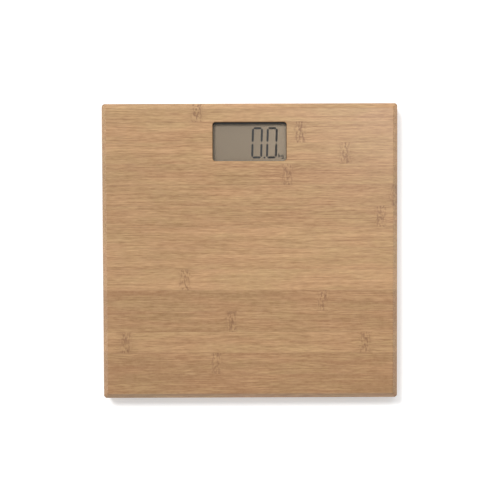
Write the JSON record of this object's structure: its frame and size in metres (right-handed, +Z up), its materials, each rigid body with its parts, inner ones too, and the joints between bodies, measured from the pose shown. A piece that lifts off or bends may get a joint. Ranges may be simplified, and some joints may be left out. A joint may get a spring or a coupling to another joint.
{
  "type": "digital bathroom scale",
  "caption": "Square bamboo bathroom scale with a recessed numeric display window, load-cell feet under its corners, and a rear cover with a battery door and a unit button.",
  "frame": {"origin": "on the floor under the middle of the board, in the plane of the foot pads", "axes": "+Z up through the board, +X to the reader's right, +Y from the reader towards the display"},
  "size_m": [0.3, 0.3, 0.023],
  "materials": {
    "bamboo": "satin lacquer over horizontal strip bamboo",
    "clear_acrylic": "clear gloss",
    "black_foam": "matt",
    "polariser_film": "clear film",
    "lcd_glass": "clear",
    "lcd_segment": "dark",
    "lcd_seal_epoxy": "matt",
    "lcd_backing": "matt grey-beige",
    "white_moulding": "fine texture",
    "zebra_rubber": "matt",
    "pcb_laminate": "solder mask",
    "black_epoxy": "gloss",
    "small_components": "mixed",
    "switch_body": "matt",
    "switch_plunger": "matt",
    "grey_button": "fine texture",
    "solder": "bright",
    "zinc_screw": "zinc plated",
    "black_screw": "black oxide",
    "black_moulding": "spark-eroded texture",
    "label_film": "silver polyester",
    "battery_steel": "bright",
    "nickel_strip": "nickel plated",
    "wire_insulation": "soft vinyl",
    "load_cell_steel": "nickel plated",
    "white_silicone": "smooth",
    "foot_rubber": "matt",
    "hot_glue": "waxy"
  },
  "bodies": {
    "scale": {"platform_board": "bamboo", "display_gasket": "black_foam", "display_window": "clear_acrylic", "lcd_front_polariser": "polariser_film", "lcd_front_glass": "lcd_glass", "lcd_segments": "lcd_segment", "lcd_seal": "lcd_seal_epoxy", "lcd_rear_glass": "lcd_glass", "lcd_reflector": "lcd_backing", "lcd_frame": "white_moulding", "zebra_connector": "zebra_rubber", "circuit_board": "pcb_laminate", "controller_chip": "black_epoxy", "pcb_components": "small_components", "tact_switch": "switch_body", "solder_joints": "solder", "pcb_screws": "zinc_screw", "frame_screws": "zinc_screw", "rear_cover": "black_moulding", "cover_screws": "black_screw", "rating_label": "label_film", "battery": "battery_steel", "contact_negative": "nickel_strip", "contact_positive": "nickel_strip", "battery_wires": "wire_insulation", "foot_screws": "black_screw", "hot_glue_dabs": "hot_glue", "foot_housing_display_left": "black_moulding", "load_cell_display_left": "load_cell_steel", "gauge_cover_display_left": "white_silicone", "cell_wires_display_left": "wire_insulation", "foot_housing_display_right": "black_moulding", "load_cell_display_right": "load_cell_steel", "gauge_cover_display_right": "white_silicone", "cell_wires_display_right": "wire_insulation", "foot_housing_heel_left": "black_moulding", "load_cell_heel_left": "load_cell_steel", "gauge_cover_heel_left": "white_silicone", "cell_wires_heel_left": "wire_insulation", "foot_housing_heel_right": "black_moulding", "load_cell_heel_right": "load_cell_steel", "gauge_cover_heel_right": "white_silicone", "cell_wires_heel_right": "wire_insulation"},
    "battery_door": {"battery_door": "black_moulding"},
    "unit_button": {"unit_button": "grey_button", "switch_plunger": "switch_plunger"},
    "foot_display_left": {"foot_cup_display_left": "black_moulding", "foot_pad_display_left": "foot_rubber"},
    "foot_display_right": {"foot_cup_display_right": "black_moulding", "foot_pad_display_right": "foot_rubber"},
    "foot_heel_left": {"foot_cup_heel_left": "black_moulding", "foot_pad_heel_left": "foot_rubber"},
    "foot_heel_right": {"foot_cup_heel_right": "black_moulding", "foot_pad_heel_right": "foot_rubber"}
  },
  "joints": [
    {"name": "foot_slide_display_left", "type": "slide", "parent": "scale", "child": "foot_display_left", "axis": [0, 0, 1], "range_m": [0, 0.0004], "stiffness_N_per_m": 5000, "springref_m": -0.001, "deforming": ["load_cell_display_left"]},
    {"name": "foot_slide_display_right", "type": "slide", "parent": "scale", "child": "foot_display_right", "axis": [0, 0, 1], "range_m": [0, 0.0004], "stiffness_N_per_m": 5000, "springref_m": -0.001, "deforming": ["load_cell_display_right"]},
    {"name": "foot_slide_heel_left", "type": "slide", "parent": "scale", "child": "foot_heel_left", "axis": [0, 0, 1], "range_m": [0, 0.0004], "stiffness_N_per_m": 5000, "springref_m": -0.001, "deforming": ["load_cell_heel_left"]},
    {"name": "foot_slide_heel_right", "type": "slide", "parent": "scale", "child": "foot_heel_right", "axis": [0, 0, 1], "range_m": [0, 0.0004], "stiffness_N_per_m": 5000, "springref_m": -0.001, "deforming": ["load_cell_heel_right"]},
    {"name": "door_hinge", "type": "hinge", "parent": "scale", "child": "battery_door", "pos_m": [0, 0.0768, 0.0078], "axis": [1, 0, 0], "range_deg": [0, 75]},
    {"name": "button_press", "type": "slide", "parent": "scale", "child": "unit_button", "axis": [0, 0, 1], "range_m": [0, 0.0003], "stiffness_N_per_m": 2000, "springref_m": -0.0003}
  ]
}
